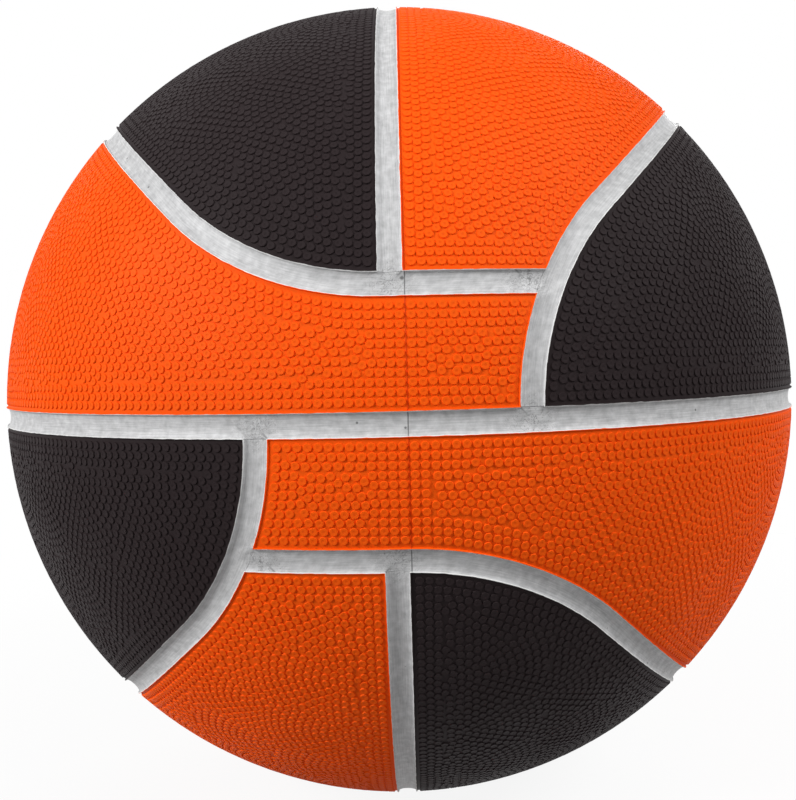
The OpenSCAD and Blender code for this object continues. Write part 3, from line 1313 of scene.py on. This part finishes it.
thread_finish, tree, shader = new_finish("nylon_thread", Specular_IOR_Level=0.5)
place = object_place(tree)
waves = []
for turn in ((0.3, 0.2, 0.1), (1.4, 0.4, 0.9), (0.5, 1.3, 2.1)):
    turned_place = new_node(tree, "Mapping", Vector=place, Rotation=turn).outputs[0]
    bands = {"wave_type": "BANDS", "bands_direction": "Z"}
    wave = new_node(tree, "TexWave", settings=bands, Vector=turned_place, Scale=260.0,
                    Distortion=1.2, Detail=1.0)
    waves.append(wave.outputs["Fac"])
thread = calc(tree, "MAXIMUM", calc(tree, "MAXIMUM", waves[0], waves[1]), waves[2])
wire_all(tree, shader.inputs,
         Base_Color=blend(tree, thread, (0.40, 0.37, 0.29, 1), (0.82, 0.79, 0.68, 1)),
         Roughness=ramp(tree, thread, 0.0, 1.0, 0.75, 0.5),
         Normal=bumped(tree, 0.8, 0.3 * mm, thread))

INNER_FINISHES = {
    "carcass": mottled("carcass_rubber", 0.4, (60.0, 4.0, 0.5),
                       ((0.018, 0.018, 0.020, 1), (0.045, 0.045, 0.048, 1)),
                       (0.6, 0.8), (0.4, 0.1 * mm)),
    "winding_layer": thread_finish,
    "bladder": mottled("bladder_rubber", 0.25, (45.0, 5.0, 0.6),
                       ((0.006, 0.006, 0.007, 1), (0.02, 0.02, 0.022, 1)),
                       (0.28, 0.42), (0.3, 0.05 * mm)),
    "valve_housing": mottled("valve_rubber", 0.25, (420.0, 5.0, 0.6),
                             ((0.010, 0.010, 0.011, 1), (0.03, 0.03, 0.031, 1)),
                             (0.42, 0.6), (0.3, 0.05 * mm)),
    "valve_plug": mottled("plug_rubber", 0.25, (520.0, 5.0, 0.6),
                          ((0.014, 0.013, 0.013, 1), (0.038, 0.036, 0.035, 1)),
                          (0.38, 0.55), (0.3, 0.05 * mm)),
}
for name, finish in INNER_FINISHES.items():
    mesh = nodes[name].data
    mesh.materials.clear()
    mesh.materials.append(finish)
print("inner finishes:", ", ".join(INNER_FINISHES))

# %% [markdown]
# Floor, light and background.
#
# The photograph is a plain product shot: a soft lamp from the upper left, a weaker one from the
# upper right, and a pure white ground. A third, weak lamp behind the ball is there for views of
# the back. In the front picture it only reaches a thin rim of the ball and the floor. The world and
# the distant floor look white to the camera and to reflections, while the light that falls on the
# ball stays at a plain level. Near the ball the floor keeps part of its own shading, and so a soft
# shadow. It lies at the lowest point of the lips, because the ball stands on them.

# %% Rays that see the background
def seen_rays(tree):
    """One for camera, glossy and transmission rays, which see the white ground."""
    rays = new_node(tree, "LightPath").outputs
    seen = calc(tree, "MAXIMUM", rays["Is Camera Ray"], rays["Is Glossy Ray"])
    return calc(tree, "MAXIMUM", seen, rays["Is Transmission Ray"])


def mixed(tree, share, first, second):
    """A mix of two shaders."""
    return new_node(tree, "MixShader", share, first, second).outputs[0]


# %% Floor
WHITE = (1, 1, 1, 1)
FLOOR_GREY = (0.26, 0.26, 0.26, 1)
floor_half = 3.0
shade_near, shade_far = 0.12, 0.45
near_white = 0.90
floor_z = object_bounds()[0].z
floor_mesh = bpy.data.meshes.new("floor")
floor_mesh.from_pydata([(x * floor_half, y * floor_half, floor_z)
                        for x, y in ((-1, -1), (1, -1), (1, 1), (-1, 1))], [], [(0, 1, 2, 3)])
floor = bpy.data.objects.new("floor", floor_mesh)
bpy.context.scene.collection.objects.link(floor)
floor_finish, tree, shader = new_finish("pale_floor", Roughness=0.9, Specular_IOR_Level=0.0)
seen = seen_rays(tree)
wire(tree, shader.inputs["Base Color"], blend(tree, seen, FLOOR_GREY, WHITE))
flat = new_node(tree, "Mapping", Vector=object_place(tree), Scale=(1, 1, 0)).outputs[0]
away = vector_calc(tree, "LENGTH", flat)["Value"]
white_part = ramp(tree, away, shade_near, shade_far, near_white, 1.0,
                  interpolation_type="SMOOTHSTEP")
pale = new_node(tree, "Emission", Color=WHITE, Strength=1.0).outputs[0]
part = calc(tree, "MULTIPLY", seen, white_part)
wire(tree, tree.nodes["Material Output"].inputs["Surface"],
     mixed(tree, part, shader.outputs[0], pale))
floor_mesh.materials.append(floor_finish)
print("floor at", round(floor_z / mm, 2), "mm")

# %% World and lamps
world_level = 0.26
world = bpy.data.worlds.new("studio")
bpy.context.scene.world = world
world.use_nodes = True
tree = world.node_tree
tree.nodes.clear()
light = new_node(tree, "Background", Color=WHITE, Strength=world_level).outputs[0]
white = new_node(tree, "Background", Color=WHITE, Strength=1.0).outputs[0]
wire(tree, new_node(tree, "OutputWorld").inputs[0], mixed(tree, seen_rays(tree), light, white))


def area_lamp(label, place, size, power):
    """A round lamp that faces the ball."""
    data = bpy.data.lights.new(label, "AREA")
    data.shape = "DISK"
    data.size = size
    data.energy = power
    lamp = bpy.data.objects.new(label, data)
    lamp.location = place
    lamp.rotation_mode = "QUATERNION"
    lamp.rotation_quaternion = (-Vector(place)).to_track_quat("-Z", "Y")
    bpy.context.scene.collection.objects.link(lamp)
    return lamp


lamps = [area_lamp("key_light", (-1.05, -0.70, 0.60), 0.5, 15.6),
         area_lamp("side_light", (0.92, -0.55, 0.90), 0.6, 12.4),
         area_lamp("back_light", (0.35, 1.40, 0.60), 0.8, 9.0)]
print("lamps:", len(lamps))

# %% [markdown]
# The camera.
#
# The photograph was taken from close by: the ball fills the frame, and its edge hides a good part
# of each side. The camera stands two and a half ball radii from the centre, a little above it,
# and is rolled by a degree and a half. Its lens makes the ball as wide as in the photograph.

# %% Camera
photo_w, photo_h = 796, 800
longer_side = max(photo_w, photo_h)
focal_px = 899.1
centre_px = (399.2, 399.3)
camera_distance = 2.5 * ball_r
tilt = Vector((0.04164, -0.01044, 0.02646))
to_camera = Matrix.Rotation(tilt.length, 3, tilt.normalized())
pattern_to_world = Matrix(((1, 0, 0), (0, 0, -1), (0, 1, 0)))
turn = pattern_to_world @ to_camera.transposed()
camera_data = bpy.data.cameras.new("camera")
camera_data.sensor_fit = "AUTO"
camera_data.sensor_width = 36
camera_data.lens = focal_px / longer_side * camera_data.sensor_width
camera_data.shift_x = (photo_w / 2 - centre_px[0]) / longer_side
camera_data.shift_y = (centre_px[1] - photo_h / 2) / longer_side
camera = bpy.data.objects.new("camera", camera_data)
camera.matrix_world = Matrix.Translation(turn @ Vector((0, 0, camera_distance))) @ turn.to_4x4()
bpy.context.scene.collection.objects.link(camera)
bpy.context.scene.camera = camera
bpy.context.scene.view_settings.view_transform = "Standard"
print("camera at", [round(c, 3) for c in camera.location], "lens", round(camera_data.lens, 2))
